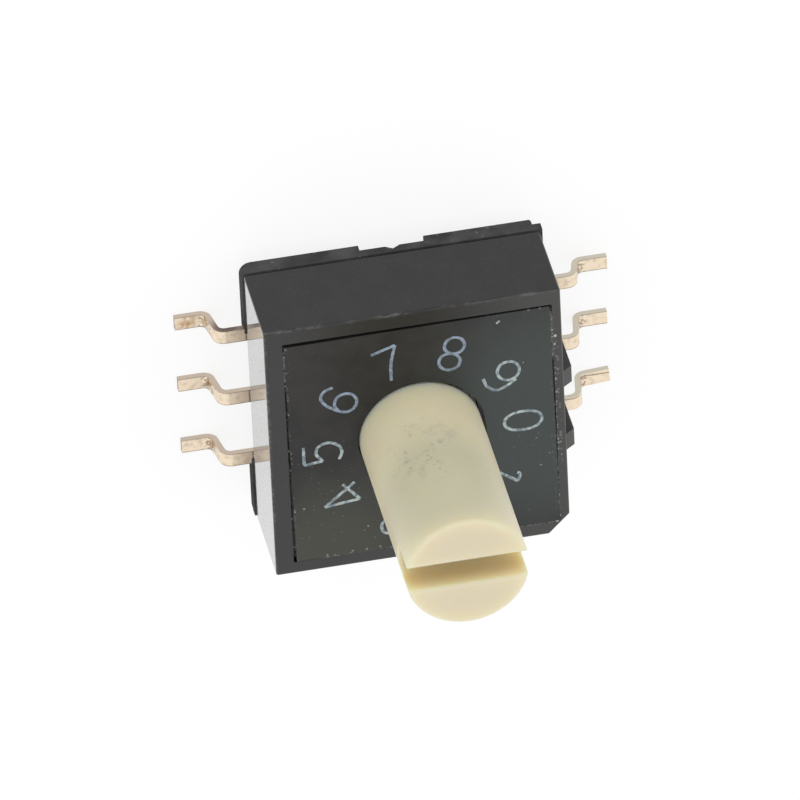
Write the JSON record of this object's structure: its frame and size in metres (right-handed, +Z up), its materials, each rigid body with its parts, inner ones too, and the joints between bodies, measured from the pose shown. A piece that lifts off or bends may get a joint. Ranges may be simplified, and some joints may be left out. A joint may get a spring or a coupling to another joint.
{
  "type": "rotary coded switch",
  "caption": "Square surface-mount rotary coded switch with gull-wing leads, a dial of digits and a tall slotted shaft that turns from click to click.",
  "frame": {"origin": "On the shaft axis, in the plane of the circuit board that the lead feet stand on.", "axes": "+Z up along the shaft, +X towards the digit 0 of the dial, +Y towards the wall with the small nick below it."},
  "size_m": [0.0146, 0.0102, 0.0126],
  "materials": {
    "housing_black": "satin black moulded plastic with light scuffs",
    "dial_black": "satin black moulded plastic with pale marked digits",
    "dial_ink": "pale blue-grey marking, matt and a little uneven",
    "gap_dust": "grey dust packed into the gap round the dial plate",
    "base_black": "dull black moulded plastic",
    "lead_plating": "pale warm plating, satin, a little stained at the bends",
    "contact_spring": "gold flash on copper alloy",
    "rotor_ivory": "ivory moulded plastic, satin",
    "seal_rubber": "black rubber",
    "spring_steel": "plain spring steel"
  },
  "bodies": {
    "housing": {"cover": "housing_black", "dial_plate": "dial_black", "base": "base_black", "terminal_1": "lead_plating", "terminal_2": "lead_plating", "terminal_4": "lead_plating", "terminal_8": "lead_plating", "terminal_common": "lead_plating", "contact_1": "contact_spring", "contact_2": "contact_spring", "contact_4": "contact_spring", "contact_8": "contact_spring", "contact_common": "contact_spring", "shaft_seal": "seal_rubber", "detent_spring_back": "spring_steel", "detent_spring_front": "spring_steel"},
    "rotor": {"rotor": "rotor_ivory", "code_disc": "contact_spring"}
  },
  "joints": [
    {"name": "rotor_turn", "type": "hinge", "parent": "housing", "child": "rotor", "pos_m": [0, 0, 0.004], "axis": [0, 0, 1], "continuous": true, "deforming": ["detent_spring_back", "detent_spring_front"]}
  ]
}
